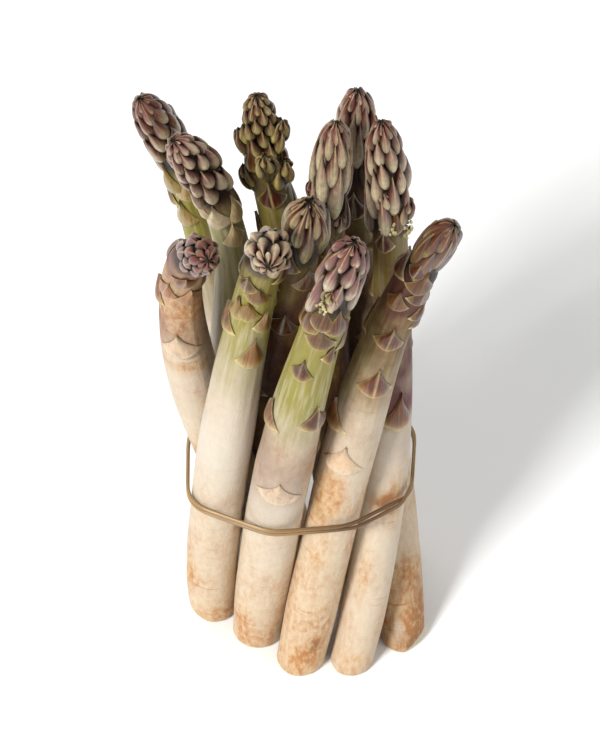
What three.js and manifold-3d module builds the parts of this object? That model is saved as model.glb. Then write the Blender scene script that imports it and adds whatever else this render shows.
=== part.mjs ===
// A bundle of asparagus: eleven thick spears, white at the foot and green to purple at the head, standing on
// their cut ends and held together by one rubber band wound round them twice.
//
// Units are millimetres, +Z is up. The spears stand on z = 0, and the origin is the middle of the bundle's
// footprint. -Y is the front. Azimuths are in degrees round +Z, from +X: -90 faces the front.

import * as THREE from "three";
import { mergeVertices } from "three/addons/utils/BufferGeometryUtils.js";
import Module from "manifold-3d";

const wasm = await Module();
wasm.setup();

// ---------------------------------------------------------------------------------------------------------
// Driving dimensions
// ---------------------------------------------------------------------------------------------------------

// Where each spear stands and leans. It grows along one cubic curve from foot to tip, which sets out towards
// "lower" and comes in from "upper". girth is the stem's radius where it is thickest, and head is the scaly
// head's [radius, length]. turn is the azimuth of the first row of scales, and hand is the way the rows wind.
const SPEARS = [
  {
    name: "spear_front_left",
    foot: [-26.5, -7.5], lower: [-29, -23.5, 74.5], upper: [-4, 7, 187], tip: [-7, -42.5, 202],
    girth: 8.2, head: [6.5, 34], turn: -90, hand: 1, colour: "#d8cf9a",
    facet: { azimuth: -160, slope: 40, inset: 3 },
  },
  {
    name: "spear_front_middle",
    foot: [-12, -17.5], lower: [-8, -19, 68], upper: [3.5, -21.5, 142.5], tip: [16, -40.5, 209.5],
    girth: 8.7, head: [6.5, 38], turn: -50, hand: -1, colour: "#c9bd8c",
    buds: [{ depth: 24, azimuth: -105, head: [2.5, 9] }],
  },
  {
    name: "spear_front_right",
    foot: [1.5, -29], lower: [14, -14.5, 75.5], upper: [23.5, -6.5, 149], tip: [43, -31.5, 206.5],
    girth: 8.1, head: [6.2, 32], turn: -80, hand: 1, colour: "#c2a791",
  },
  {
    name: "spear_right",
    foot: [18, -29.5], lower: [31.5, -6.5, 66], upper: [30.5, 8, 139], tip: [24, 4.5, 210],
    girth: 7.3, head: [6.1, 46], turn: -60, hand: 1, colour: "#b8a07e",
    buds: [
      { depth: 32, azimuth: -95, head: [2.7, 11] },
      { depth: 37, azimuth: -20, head: [2.7, 12] },
    ],
  },
  {
    name: "spear_far_right",
    foot: [34.5, -19.5], lower: [29.5, 15, 66.5], upper: [15.5, 23, 135.5], tip: [17.5, 17.5, 209],
    girth: 7.8, head: [5.8, 38], turn: -110, hand: -1, colour: "#b39b7f",
    facet: { azimuth: -25, slope: 50, inset: 3 },
  },
  {
    name: "spear_left",
    foot: [8, -3], lower: [-39.5, 4, 75], upper: [-40, 22.5, 150], tip: [-23.5, -32, 193],
    girth: 8.1, head: [5.9, 28], turn: -100, hand: 1, colour: "#cfae93",
  },
  {
    name: "spear_back_left",
    foot: [-16.5, 27], lower: [-20.5, 39.5, 72], upper: [-24, 38.5, 146], tip: [-43, 14.5, 208.5],
    girth: 7.3, head: [6.5, 42], turn: -60, hand: 1, colour: "#a9a47a",
  },
  {
    name: "spear_middle_left",
    foot: [-28.5, 8], lower: [-22.5, 30.5, 81], upper: [-6, 19.5, 149], tip: [-33.5, 0, 207],
    girth: 7, head: [6.6, 36], turn: -120, hand: -1, colour: "#a8a380",
  },
  {
    name: "spear_back_middle",
    foot: [28.5, 21], lower: [14, 23, 71], upper: [-7, 22, 140.5], tip: [-10.5, 16, 208.5],
    girth: 7.6, head: [5.2, 26], turn: -70, hand: 1, colour: "#8f9363",
    buds: [
      { depth: 19, azimuth: -10, head: [2.9, 12] },
      { depth: 23, azimuth: 175, head: [3.0, 13] },
      { depth: 26, azimuth: -85, head: [2.8, 11] },
      { depth: 33, azimuth: -5, head: [3.0, 13] },
      { depth: 37, azimuth: 190, head: [2.6, 10] },
    ],
  },
  {
    name: "spear_back_right",
    foot: [18.5, 8.5], lower: [9, 4.5, 71], upper: [6.5, 6, 140], tip: [11.5, 3.5, 210.5],
    girth: 7.5, head: [6.3, 40], turn: -90, hand: 1, colour: "#a39374",
    buds: [
      { depth: 30, azimuth: 185, head: [2.4, 9] },
      { depth: 40, azimuth: -50, head: [2.3, 9] },
    ],
  },
  {
    name: "spear_middle",
    foot: [-1.5, 23], lower: [-16, 14, 70.5], upper: [-0.5, -2.5, 135], tip: [4, -18, 201],
    girth: 7.6, head: [6.3, 30], turn: -80, hand: -1, colour: "#9a9069",
  },
];

// The stem is round in section. Radii are shares of the spear's girth.
const STEM = {
  rings: 9,
  foot: 0.93, // radius of the cut end
  footHeight: 25, // over which it swells to its full girth
  neck: 0.68, // radius under the head
  taperFrom: 0.5, // share of the stem's height where it starts to narrow
  spare: 8, // length below the floor, cut off level
};

// Scales stand in rows. On a head there are eight, and each scale is three rows on from the one above it.
// On a side bud there are five, and each is two rows on. The rows wind slowly round by "drift" degrees a
// scale, which makes the golden angle of 137.5 degrees from one scale to the next on both.
const HEAD_ROWS = { count: 8, jump: 3, drift: 2.5 };
const BUD_ROWS = { count: 5, jump: 2, drift: -6.5 };

// Lifts are shares of the head's radius.
const HEAD = {
  scales: 44,
  firstGap: 0.45, // between the two scales nearest the tip, as a share of the mean gap
  blunt: 4, // the higher, the blunter the head's outline
  joins: 0.25, // share of the head's length over which the stem runs into it
  halfWidth: 0.6, // of a scale, as a share of the way from one row to the next
  neckLift: 0.34, // of a scale's crest from the core, at the neck
  endLift: 0.15, // the same at the tip
  pointLift: 0.4, // of a scale's point, as a share of its crest's
  cover: 0.98, // a scale's length, as a share of the way to the next one up its row
};

// Where a scale swells, narrows and thins, as shares of its length from the bottom.
const SCALE = {
  swell: [-0.08, 0.25],
  narrow: [0.3, 1],
  point: 0.1, // width of its point, as a share of its full width
  thin: [0.4, 1],
};

// Side buds are small heads that stand out of a loosened one. Sizes are in millimetres.
const BUD = { scales: 11, stalk: 3, girth: 2.4, sunk: 2.6, lean: 13 };

// Bracts are the stem's own scales, further apart towards the foot.
const BRACT = {
  count: 9,
  gap: 2.5, // under the head
  growth: 0.85, // of the gap, from one bract to the next
  length: 12,
  halfWidth: 1.15, // as a share of the way from one row to the next
  lift: 1.1,
  pointLift: 0.7,
  bandClear: 9, // no bract stands nearer to the band than this
};

// Heights on a scale where its vertices stand, as shares of its length: down its middle, then one and two
// columns to the side. It falls sharply from its point to what it covers.
const HEAD_STATIONS = [[0, 0.1, 0.3, 0.97, 1], [0.12, 0.5]];
const BRACT_STATIONS = [[0, 0.25, 0.97, 1], [0, 0.25, 0.7], [0.05, 0.25, 0.45]];
const LEAST_STEP = 0.15; // between two vertices of a column

const BAND = {
  height: 67.5,
  strand: 0.75, // radius of one strand
  apart: 0.8, // of each strand from the line between the two
  gap: 0.4, // to the spears
  crossAt: -55, // azimuth where one run crosses over the other
  crossOver: 30, // length of that crossing, in degrees
  steps: 60, // for one turn
  sides: 5,
  colour: "#a8875c",
};

// Blocks that cut the feet are longer than anything they cut.
const FACET_BLOCK = 60;
const FLOOR_BLOCK = 300;

// ---------------------------------------------------------------------------------------------------------
// Helpers
// ---------------------------------------------------------------------------------------------------------

const { clamp, degToRad, euclideanModulo, lerp, smoothstep } = THREE.MathUtils;

// A closed geometry as a manifold-3d solid, with shared vertices merged and collapsed triangles dropped.
function solid(geometry) {
  const bare = new THREE.BufferGeometry();
  bare.setAttribute("position", geometry.getAttribute("position"));
  bare.setIndex(geometry.index);
  const merged = mergeVertices(bare, 1e-4);
  const index = merged.index.array;
  const kept = [];
  for (let i = 0; i < index.length; i += 3) {
    const [a, b, c] = [index[i], index[i + 1], index[i + 2]];
    if (a !== b && b !== c && c !== a) kept.push(a, b, c);
  }
  const vertProperties = merged.getAttribute("position").array;
  return new wasm.Manifold(new wasm.Mesh({ numProp: 3, vertProperties, triVerts: new Uint32Array(kept) }));
}

function geometryOf(made) {
  const mesh = made.getMesh();
  const geometry = new THREE.BufferGeometry();
  geometry.setAttribute("position", new THREE.BufferAttribute(mesh.vertProperties, 3));
  geometry.setIndex(new THREE.BufferAttribute(mesh.triVerts, 1));
  geometry.computeVertexNormals();
  return geometry;
}

// ---------------------------------------------------------------------------------------------------------
// Spears
// ---------------------------------------------------------------------------------------------------------

// The line that a spear grows along, with its length and where a point of the straight spear comes to lie.
function growthLine(spear) {
  const points = [[...spear.foot, 0], spear.lower, spear.upper, spear.tip];
  const curve = new THREE.CubicBezierCurve3(...points.map((point) => new THREE.Vector3(...point)));
  const length = curve.getLength();
  const frameAt = (height) => {
    const share = clamp(height / length, 0, 1);
    const along = curve.getTangentAt(share);
    const at = curve.getPointAt(share).addScaledVector(along, height - share * length);
    const across = new THREE.Vector3(1, 0, 0).addScaledVector(along, -along.x).normalize();
    return { at, along, across, over: along.clone().cross(across) };
  };
  const bend = (geometry) => {
    const position = geometry.getAttribute("position");
    for (let i = 0; i < position.count; i++) {
      const { at, across, over } = frameAt(position.getZ(i));
      at.addScaledVector(across, position.getX(i)).addScaledVector(over, position.getY(i));
      position.setXYZ(i, at.x, at.y, at.z);
    }
    return geometry;
  };
  return { length, frameAt, bend };
}

// A stalk is a straight spear or side bud that stands on z = 0, with its head at the top. This is its radius
// without its scales, at a height.
function coreRadius(stalk, height) {
  const [headRadius, headLength] = stalk.head;
  const neckAt = stalk.length - headLength;
  const neck = stalk.girth * STEM.neck;
  if (height <= neckAt) {
    const swell = lerp(STEM.foot, 1, smoothstep(height, 0, STEM.footHeight));
    return swell * lerp(stalk.girth, neck, smoothstep(height / neckAt, STEM.taperFrom, 1));
  }
  const share = Math.min((height - neckAt) / headLength, 1);
  const outline = Math.sqrt(1 - share ** HEAD.blunt) - lerp(HEAD.neckLift, HEAD.endLift, share);
  return Math.max(lerp(neck, headRadius * outline, smoothstep(share, 0, HEAD.joins)), 0);
}

function headScales(stalk) {
  const [headRadius, headLength] = stalk.head;
  const depthOf = (n) => {
    const t = clamp((n + 1) / stalk.scales, 0, 1);
    return headLength * t * lerp(HEAD.firstGap, 1, t);
  };
  const scales = [];
  for (let n = 0; n < stalk.scales; n++) {
    const depth = depthOf(n);
    const lift = headRadius * lerp(HEAD.endLift, HEAD.neckLift, depth / headLength);
    scales.push({
      row: stalk.hand * stalk.rows.jump * n,
      height: stalk.length - depth,
      length: HEAD.cover * (depth - depthOf(n - stalk.rows.count)),
      halfWidth: HEAD.halfWidth,
      lift,
      pointLift: HEAD.pointLift * lift,
      stations: HEAD_STATIONS,
    });
  }
  return scales;
}

function stemBracts(stalk, line) {
  const bracts = [];
  for (let n = 0; n < BRACT.count; n++) {
    const height = stalk.length - stalk.head[1] - BRACT.gap * (n + 1) - BRACT.growth * n * n;
    if (Math.abs(line.frameAt(height + BRACT.length / 2).at.z - BAND.height) < BRACT.bandClear) continue;
    bracts.push({
      row: stalk.hand * stalk.rows.jump * (stalk.scales + n),
      height,
      length: BRACT.length,
      halfWidth: BRACT.halfWidth,
      lift: BRACT.lift,
      pointLift: BRACT.pointLift,
      stations: BRACT_STATIONS,
    });
  }
  return bracts;
}

// Two columns of vertices stand to each row of scales: one down its middle and one in the valley beside it.
function columnsApart(rows, column, row) {
  const turned = euclideanModulo(column - 2 * row, 2 * rows.count);
  return Math.min(turned, 2 * rows.count - turned);
}

// How far a scale stands out of the core: full low down, narrowing to its point.
function relief(scale, apart, height) {
  const t = (height - scale.height) / scale.length;
  if (t <= 0 || t >= 1) return 0;
  const halfWidth = scale.halfWidth * lerp(1, SCALE.point, smoothstep(t, ...SCALE.narrow));
  const aside = apart / 2 / halfWidth;
  const swollen = scale.lift * smoothstep(t, ...SCALE.swell);
  const along = lerp(swollen, scale.pointLift, smoothstep(t, ...SCALE.thin));
  return Math.max(along * (1 - aside * aside), 0);
}

// A stalk as one closed net: columns of vertices zipped side to side, closed at the tip and at the bottom.
function stalkGeometry(stalk, scales) {
  const columnCount = 2 * stalk.rows.count;
  const neckAt = stalk.length - stalk.head[1];
  const rings = [];
  for (let i = 0; i <= stalk.rings; i++) rings.push(lerp(-stalk.spare, neckAt, i / stalk.rings));
  const drift = (height) => stalk.rows.drift * scales.filter((scale) => scale.height > height).length;

  const [bottom, apex] = [0, 1];
  const position = [0, 0, -stalk.spare, 0, 0, stalk.length];
  const columns = [];
  for (let c = 0; c < columnCount; c++) {
    const apart = scales.map((scale) => columnsApart(stalk.rows, c, scale.row));
    const own = scales.flatMap((scale, i) => {
      const stations = scale.stations[apart[i]] ?? [];
      return stations.map((t) => scale.height + t * scale.length);
    });
    const column = [];
    for (const height of [...rings, ...own].sort((a, b) => a - b)) {
      const last = column.at(-1)?.height ?? -Infinity;
      if (height - last < LEAST_STEP || height > stalk.length - 2 * LEAST_STEP) continue;
      const turn = degToRad(stalk.turn + (360 * c) / columnCount + stalk.hand * drift(height));
      const raised = Math.max(...scales.map((scale, i) => relief(scale, apart[i], height)));
      const radius = coreRadius(stalk, height) + raised;
      column.push({ height, vertex: position.length / 3 });
      position.push(radius * Math.cos(turn), radius * Math.sin(turn), height);
    }
    column.push({ height: stalk.length, vertex: apex });
    columns.push(column);
  }

  const index = [];
  columns.forEach((left, c) => {
    const right = columns[(c + 1) % columnCount];
    index.push(bottom, right[0].vertex, left[0].vertex);
    let [i, j] = [0, 0];
    while (i < left.length - 1 || j < right.length - 1) {
      const leftNext = left[i + 1]?.height ?? Infinity;
      const rightNext = right[j + 1]?.height ?? Infinity;
      if (leftNext < rightNext) {
        index.push(left[i].vertex, right[j].vertex, left[i + 1].vertex);
        i += 1;
      } else {
        if (left[i].vertex !== apex) index.push(left[i].vertex, right[j].vertex, right[j + 1].vertex);
        j += 1;
      }
    }
  });
  const geometry = new THREE.BufferGeometry();
  geometry.setAttribute("position", new THREE.Float32BufferAttribute(position, 3));
  geometry.setIndex(index);
  return geometry;
}

// A side bud on the straight spear, its root sunk in the core.
function budGeometry(spearStalk, { depth, azimuth, head }) {
  const [, headLength] = head;
  const bud = {
    length: BUD.stalk + headLength,
    girth: BUD.girth,
    head,
    turn: azimuth,
    hand: 1,
    rows: BUD_ROWS,
    scales: BUD.scales,
    rings: 1,
    spare: 0,
  };
  const height = spearStalk.length - depth - bud.length / 2;
  const out = coreRadius(spearStalk, height) - BUD.sunk;
  return stalkGeometry(bud, headScales(bud))
    .rotateY(degToRad(BUD.lean))
    .translate(out, 0, height)
    .rotateZ(degToRad(azimuth));
}

// The waste below an oblique cut that takes one side off a spear's foot, rising outwards.
function facetWaste({ foot, facet }) {
  return new THREE.BoxGeometry(FACET_BLOCK, FACET_BLOCK, FACET_BLOCK)
    .translate(0, 0, -FACET_BLOCK / 2)
    .rotateY(-degToRad(facet.slope))
    .translate(facet.inset, 0, 0)
    .rotateZ(degToRad(facet.azimuth))
    .translate(...foot, 0);
}

function floorWaste() {
  return new THREE.BoxGeometry(FLOOR_BLOCK, FLOOR_BLOCK, FLOOR_BLOCK).translate(0, 0, -FLOOR_BLOCK / 2);
}

function spearSolid(spear, stalk, line) {
  const scales = [...headScales(stalk), ...stemBracts(stalk, line)];
  let made = solid(line.bend(stalkGeometry(stalk, scales)));
  for (const bud of spear.buds ?? []) made = made.add(solid(line.bend(budGeometry(stalk, bud))));
  made = made.subtract(solid(floorWaste()));
  return spear.facet ? made.subtract(solid(facetWaste(spear))) : made;
}

// ---------------------------------------------------------------------------------------------------------
// Rubber band
// ---------------------------------------------------------------------------------------------------------

// The round section of a spear where the band passes it. The height along the spear is found by stepping by
// what is still missing, which settles to well under a micrometre.
function sectionAtBand(stalk, line) {
  let height = BAND.height;
  for (let i = 0; i < 8; i++) height += BAND.height - line.frameAt(height).at.z;
  const { at, along } = line.frameAt(height);
  const lean = Math.hypot(along.x, along.y);
  const radius = coreRadius(stalk, height) + (BAND.strand + BAND.apart) * lean;
  return { x: at.x, y: at.y, radius: radius / along.z };
}

// The band lies on the outermost spears and runs straight from one to the next. Its two turns are offset from
// the line between them, one above the other, and they change places once at the crossing.
function bandGeometry(sections) {
  const route = [];
  for (let i = 0; i < 2 * BAND.steps; i++) {
    const azimuth = (360 * i) / BAND.steps;
    const way = new THREE.Vector3(Math.cos(degToRad(azimuth)), Math.sin(degToRad(azimuth)), 0);
    const reach = (s) => s.x * way.x + s.y * way.y + s.radius;
    const held = sections.reduce((far, s) => (reach(s) > reach(far) ? s : far));
    const turn = Math.floor(azimuth / 360 + 0.5 - BAND.crossAt / 360);
    const past = azimuth - BAND.crossAt - 360 * turn;
    const roll = degToRad(180 * turn + 180 * smoothstep(past, -BAND.crossOver / 2, BAND.crossOver / 2) - 90);
    const out = BAND.strand + BAND.gap + BAND.apart * Math.abs(Math.cos(roll)) + BAND.apart * Math.cos(roll);
    const x = held.x + way.x * (held.radius + out);
    const y = held.y + way.y * (held.radius + out);
    route.push(new THREE.Vector3(x, y, BAND.height + BAND.apart * Math.sin(roll)));
  }
  const curve = new THREE.CatmullRomCurve3(route, true);
  return new THREE.TubeGeometry(curve, 2 * BAND.steps, BAND.strand, BAND.sides, true);
}

// ---------------------------------------------------------------------------------------------------------
// Assembly
// ---------------------------------------------------------------------------------------------------------

const bundle = new THREE.Group();
bundle.name = "asparagus_bundle";

const sections = [];
for (const spear of SPEARS) {
  const line = growthLine(spear);
  const { rings, spare } = STEM;
  const stalk = { ...spear, length: line.length, rows: HEAD_ROWS, scales: HEAD.scales, rings, spare };
  const material = new THREE.MeshStandardMaterial({ color: spear.colour, roughness: 0.55, metalness: 0 });
  const mesh = new THREE.Mesh(geometryOf(spearSolid(spear, stalk, line)), material);
  mesh.name = spear.name;
  bundle.add(mesh);
  sections.push(sectionAtBand(stalk, line));
}

const rubber = new THREE.MeshStandardMaterial({ color: BAND.colour, roughness: 0.7, metalness: 0 });
const band = new THREE.Mesh(bandGeometry(sections), rubber);
band.name = "rubber_band";
bundle.add(band);

export default bundle;
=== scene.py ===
"""A bundle of asparagus: eleven thick spears standing on their cut ends inside one rubber band.

Each spear is worked out straight and upright first, with x and y across it and its height along it, and is
then bent along its line of growth. Table values are in millimetres and degrees, Blender's are in metres.
"""

import math
import random
from bisect import bisect_right

import bmesh
import bpy
from mathutils import Color, Matrix, Vector, noise


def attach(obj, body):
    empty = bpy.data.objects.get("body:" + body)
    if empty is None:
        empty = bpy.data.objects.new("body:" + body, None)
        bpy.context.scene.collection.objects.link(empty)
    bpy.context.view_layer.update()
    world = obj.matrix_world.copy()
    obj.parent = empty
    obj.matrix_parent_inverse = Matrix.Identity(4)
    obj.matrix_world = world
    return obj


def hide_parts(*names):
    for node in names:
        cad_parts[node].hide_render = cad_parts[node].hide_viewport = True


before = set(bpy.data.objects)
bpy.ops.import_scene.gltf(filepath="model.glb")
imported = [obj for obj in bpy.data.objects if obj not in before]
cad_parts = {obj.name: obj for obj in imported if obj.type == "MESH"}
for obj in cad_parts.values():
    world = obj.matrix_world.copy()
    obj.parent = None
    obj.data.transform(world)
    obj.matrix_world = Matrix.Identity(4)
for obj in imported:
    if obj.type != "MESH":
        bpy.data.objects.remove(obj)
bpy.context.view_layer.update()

bl_info = {
    "name": "Asparagus Bundle",
    "version": (1, 0, 0),
    "blender": (4, 5, 0),
    "location": "View3D > Sidebar > Asparagus",
    "description": "Builds a bundle of asparagus held by a rubber band",
    "category": "Object",
}

MM = 0.001
BODY = "root"

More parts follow.
